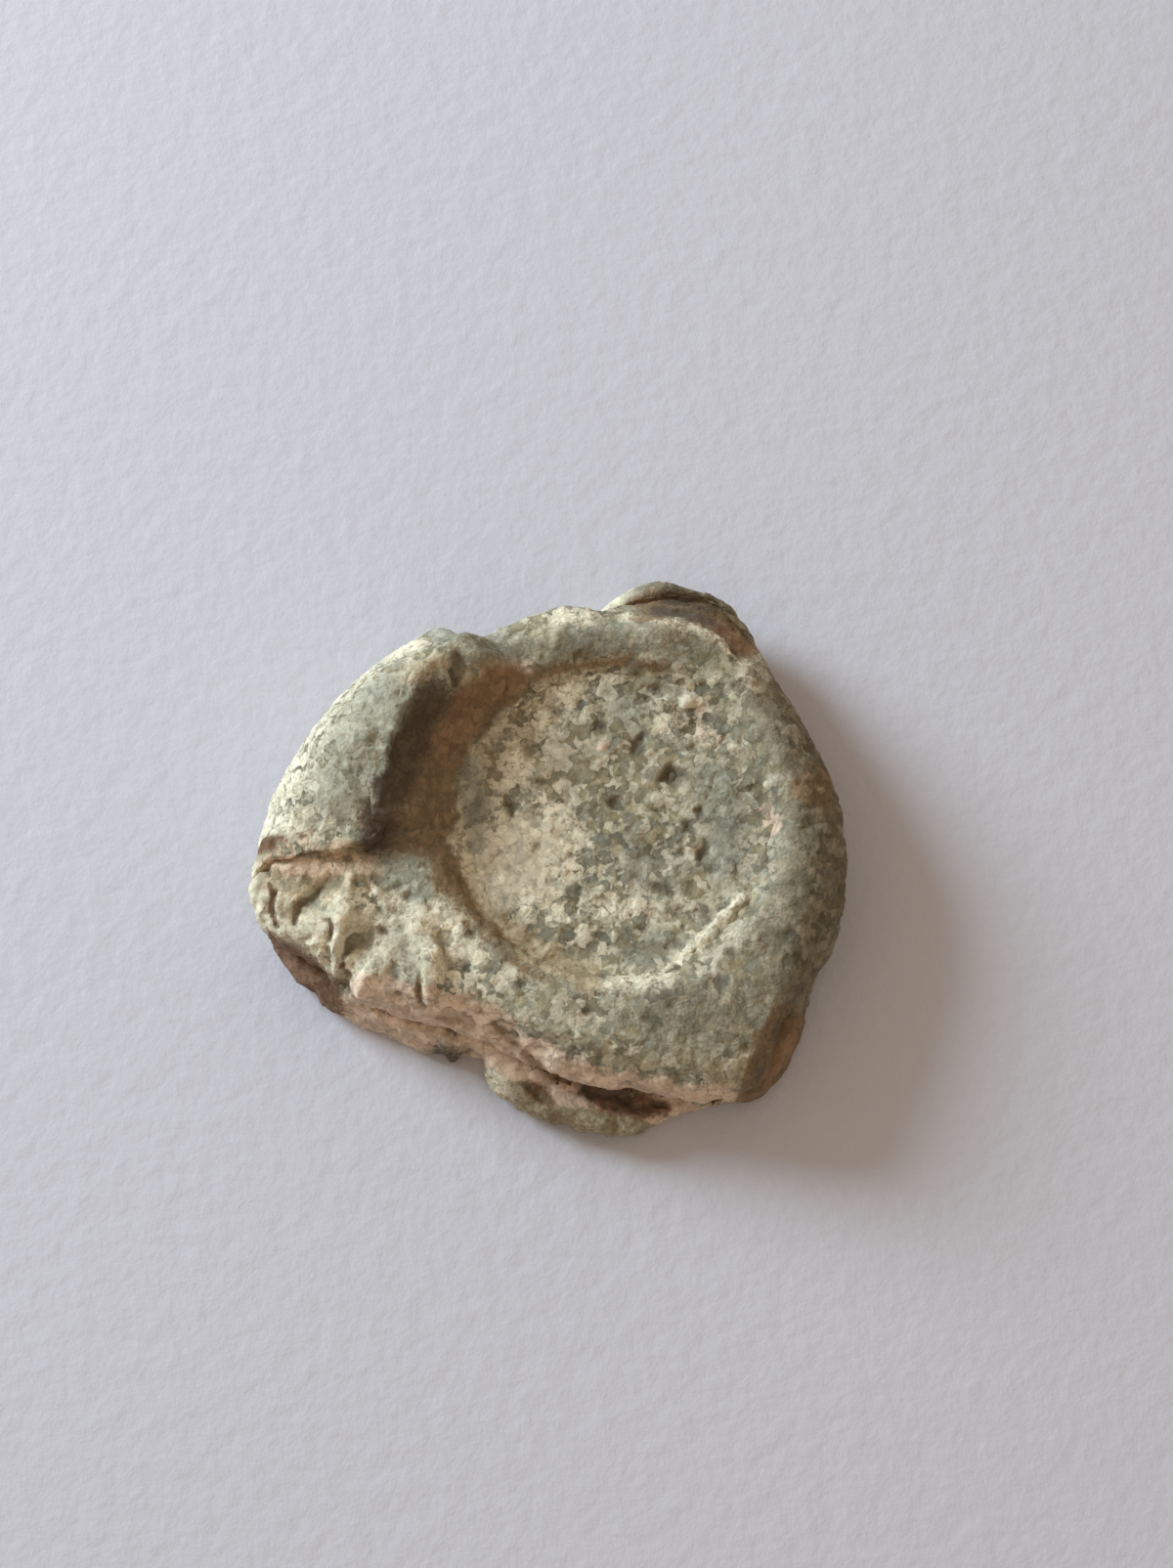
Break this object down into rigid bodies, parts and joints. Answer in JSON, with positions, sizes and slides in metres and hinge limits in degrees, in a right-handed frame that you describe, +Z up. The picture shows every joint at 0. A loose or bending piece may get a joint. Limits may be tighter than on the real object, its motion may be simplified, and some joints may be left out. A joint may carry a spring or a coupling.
{
  "type": "lead seal",
  "caption": "Folded and riveted lead cloth seal: a worn round struck field in a squeezed, torn and corroded lump, with a bulging fold on one side.",
  "frame": {"origin": "on the rivet's axis, on the flat of the back disc that the seal rests on", "axes": "+Z up out of the struck field along the rivet's axis, +X to the right and +Y away from the eye as the field is seen in the picture, with the strip's fold on the -X side; X is also the longest way across"},
  "size_m": [0.0221, 0.0209, 0.0063],
  "materials": {
    "front_lead": "matte grey-green and cream corrosion crust with brown soil in the recess",
    "back_lead": "matte brownish crust with soil along the torn edge",
    "struck_lead": "matte grey crust, worn and pitted, cream at the lower left",
    "folded_lead": "matte cream-white crust, grey along the crest",
    "stained_cloth": "matte red-brown, earth-filled"
  },
  "bodies": {
    "root": {"back_disc": "back_lead", "cloth_remnant": "stained_cloth", "front_disc": "front_lead", "rivet": "struck_lead", "connecting_strip": "folded_lead"}
  },
  "joints": []
}
